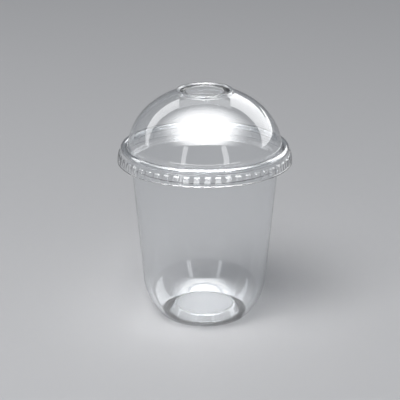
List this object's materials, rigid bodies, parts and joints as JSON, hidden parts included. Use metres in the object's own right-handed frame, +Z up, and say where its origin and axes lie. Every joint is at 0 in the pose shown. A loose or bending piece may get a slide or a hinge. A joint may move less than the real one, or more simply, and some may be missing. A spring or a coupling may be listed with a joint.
{
  "type": "plastic cup with dome lid",
  "caption": "Clear thin-walled drinks cup with rounded base corner and rolled rim, closed by a press-on dome lid with a straw hole and a ribbed skirt.",
  "frame": {"origin": "centre of the ring on which the cup stands, at table level", "axes": "+Z up along the axis of the cup and lid; the part is round about Z, so +X and +Y are free"},
  "size_m": [0.102, 0.102, 0.1375],
  "materials": {
    "cup_sheet": "clear, glossy formed sheet",
    "lid_sheet": "clear, glossy formed sheet"
  },
  "bodies": {
    "cup": {"cup": "cup_sheet"},
    "lid": {"dome_lid": "lid_sheet"}
  },
  "joints": [
    {"name": "lid_lift", "type": "slide", "parent": "cup", "child": "lid", "axis": [0, 0, 1], "range_m": [0, 0.05]}
  ]
}
